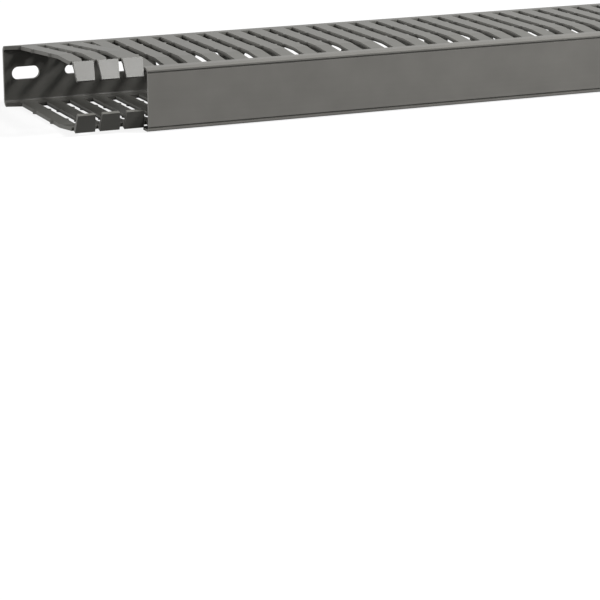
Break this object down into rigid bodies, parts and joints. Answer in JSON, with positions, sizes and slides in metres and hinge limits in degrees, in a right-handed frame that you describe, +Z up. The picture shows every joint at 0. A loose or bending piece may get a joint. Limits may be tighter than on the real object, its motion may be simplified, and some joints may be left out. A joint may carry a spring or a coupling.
{
  "type": "slotted wire duct",
  "caption": "Straight length of narrow slotted wire duct with a perforated base, slotted finger walls and a slide-off clip cover set back from one end.",
  "frame": {"origin": "middle of the length and of the depth, on the floor the duct lies on", "axes": "+X along the duct, away from the end that the cover leaves open; +Y out of the back of the base plate; -Y out of the cover; +Z up, square to the slotted walls"},
  "size_m": [0.5, 0.075, 0.0291],
  "materials": {
    "duct_plastic": "satin stone grey rigid plastic",
    "cover_plastic": "satin stone grey rigid plastic"
  },
  "bodies": {
    "duct": {"duct_body": "duct_plastic"},
    "lid": {"cover": "cover_plastic"}
  },
  "joints": [
    {"name": "cover_slide", "type": "slide", "parent": "duct", "child": "lid", "axis": [1, 0, 0], "range_m": [0, 0.4]}
  ]
}
